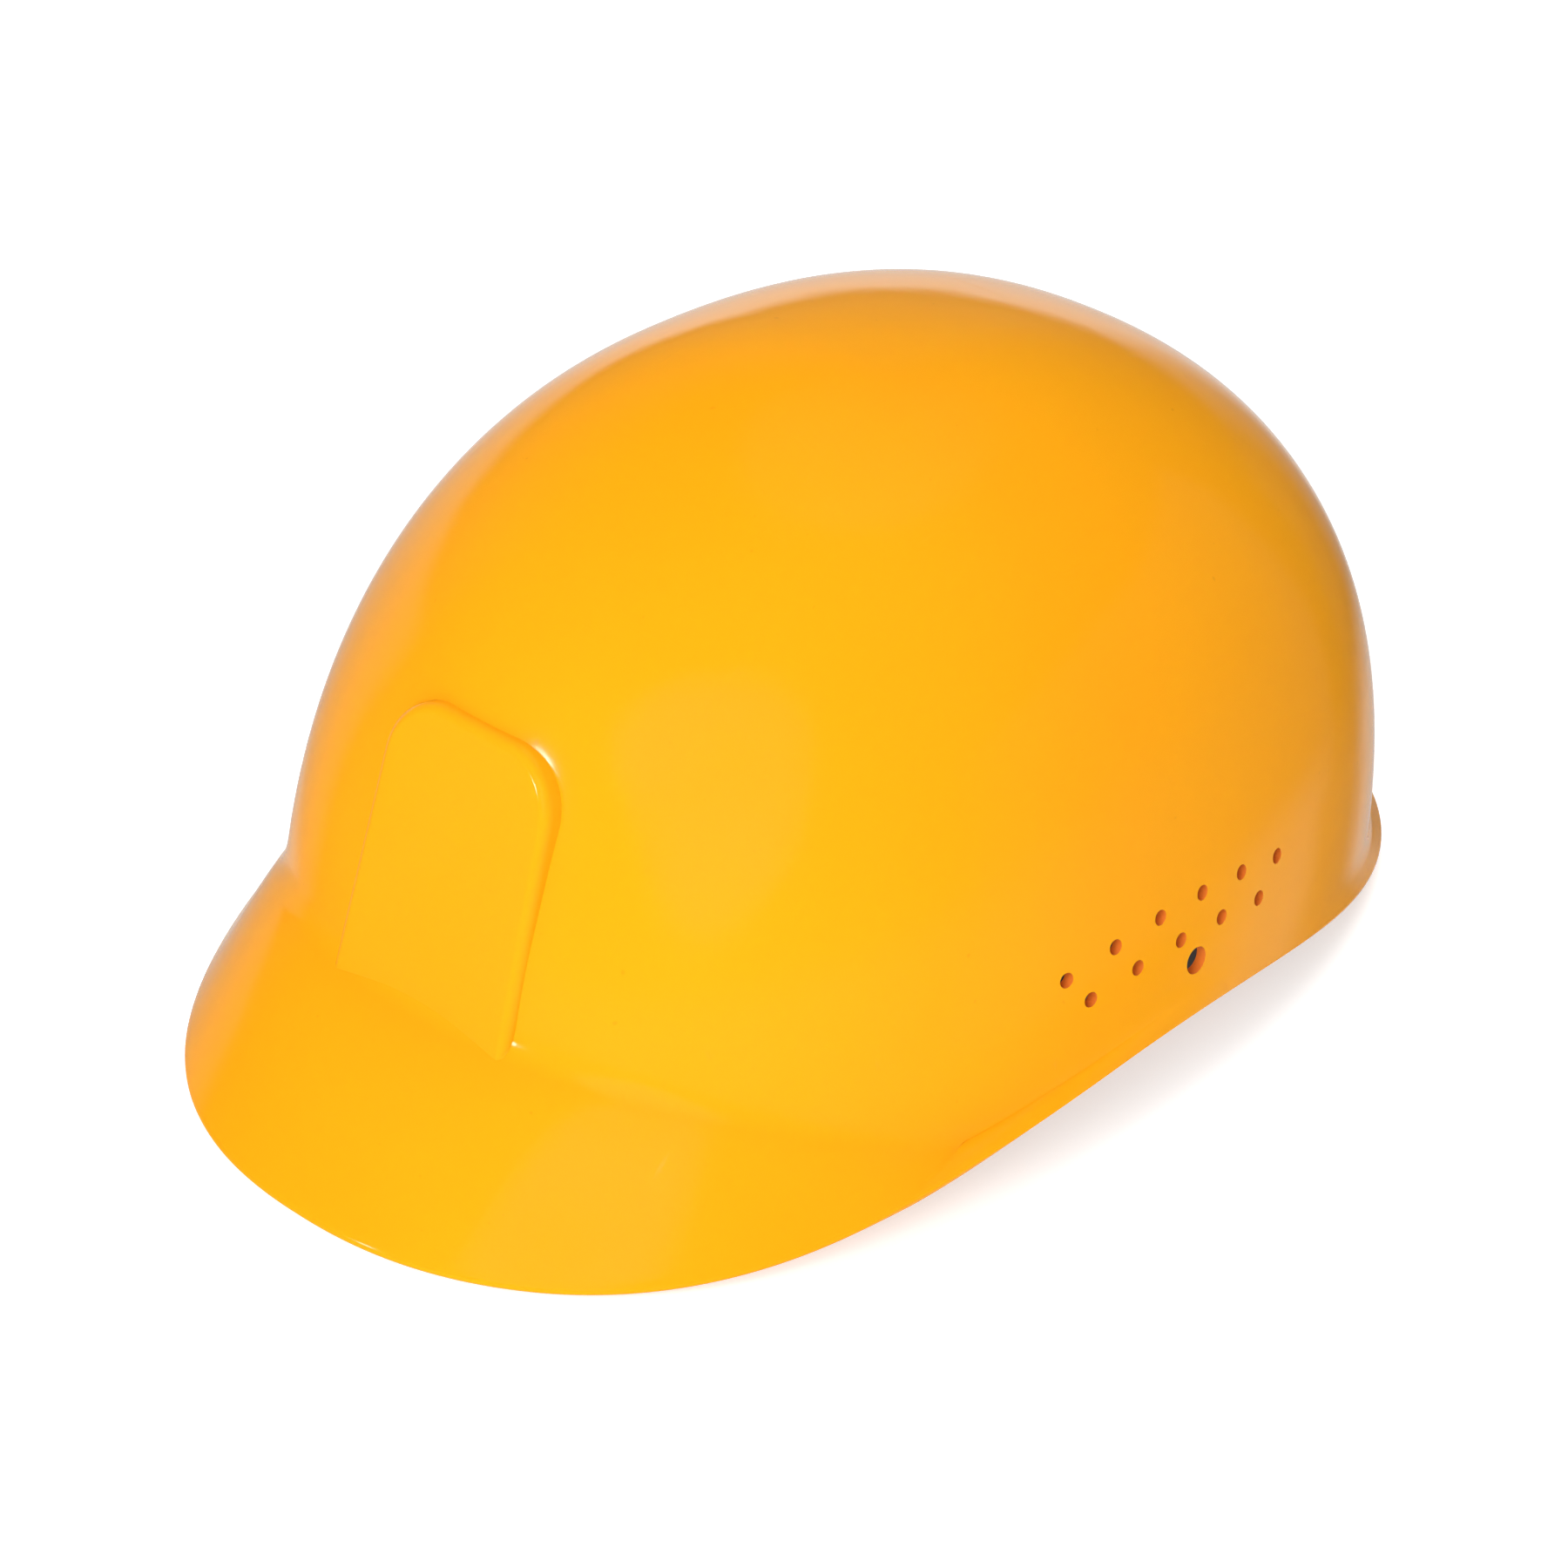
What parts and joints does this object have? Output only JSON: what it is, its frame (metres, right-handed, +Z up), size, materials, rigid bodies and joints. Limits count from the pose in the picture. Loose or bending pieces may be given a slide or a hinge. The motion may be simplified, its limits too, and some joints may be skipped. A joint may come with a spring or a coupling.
{
  "type": "bump cap with ratchet suspension",
  "caption": "Vented bump cap: hard shell with a front peak, clip-in webbing suspension, brow sweatband and a ratchet knob that sizes the headband.",
  "frame": {"origin": "on the floor under the middle of the shell, which stands on its peak and rear rim", "axes": "+Z up, the wearer faces -Y, +X is the wearer's left"},
  "size_m": [0.1926, 0.285, 0.1375],
  "materials": {
    "shell": "glossy injection-moulded polyethylene, amber yellow",
    "harness_plastic": "satin natural polyethylene strip",
    "key_plastic": "satin pale grey moulded plastic",
    "stud_plastic": "moulded nylon push studs",
    "webbing": "woven nylon webbing",
    "sweatband": "foam strip with a knitted face",
    "nape_pad": "foam pad with a knitted face",
    "ratchet_plastic": "fine-textured black moulding",
    "gear_plastic": "natural acetal",
    "knob_plastic": "black moulding, satin",
    "screw_steel": "zinc-plated steel"
  },
  "bodies": {
    "cap": {"shell": "shell"},
    "harness": {"headband": "harness_plastic", "sweatband": "sweatband", "sweatband_studs": "stud_plastic", "front_left_key": "key_plastic", "front_right_key": "key_plastic", "rear_left_key": "key_plastic", "rear_right_key": "key_plastic", "left_crown_strap": "webbing", "right_crown_strap": "webbing", "left_strap_keeper": "key_plastic", "right_strap_keeper": "key_plastic", "ratchet_base": "ratchet_plastic", "ratchet_cover": "ratchet_plastic", "nape_pad": "nape_pad"},
    "adjuster": {"pinion": "gear_plastic", "detent_ring": "gear_plastic", "knob": "knob_plastic", "knob_screw": "screw_steel"},
    "left_strap": {"left_rack_strap": "harness_plastic"},
    "right_strap": {"right_rack_strap": "harness_plastic"}
  },
  "joints": [
    {"name": "harness_release", "type": "slide", "parent": "cap", "child": "harness", "axis": [0, 0, -1], "range_m": [0, 0.16]},
    {"name": "knob_turn", "type": "hinge", "parent": "harness", "child": "adjuster", "pos_m": [0, 0.12, 0.021], "axis": [0, 1, 0], "range_deg": [-240, 240]},
    {"name": "left_strap_slide", "type": "hinge", "parent": "harness", "child": "left_strap", "pos_m": [0, 0.03, 0.021], "axis": [0, 0, 1], "range_deg": [-18.6, 18.6]},
    {"name": "right_strap_slide", "type": "hinge", "parent": "harness", "child": "right_strap", "pos_m": [0, 0.03, 0.021], "axis": [0, 0, 1], "range_deg": [-18.6, 18.6]}
  ],
  "couplings": [
    {"joint": "left_strap_slide", "follows": "knob_turn", "ratio": 0.077065},
    {"joint": "right_strap_slide", "follows": "knob_turn", "ratio": -0.075666}
  ]
}
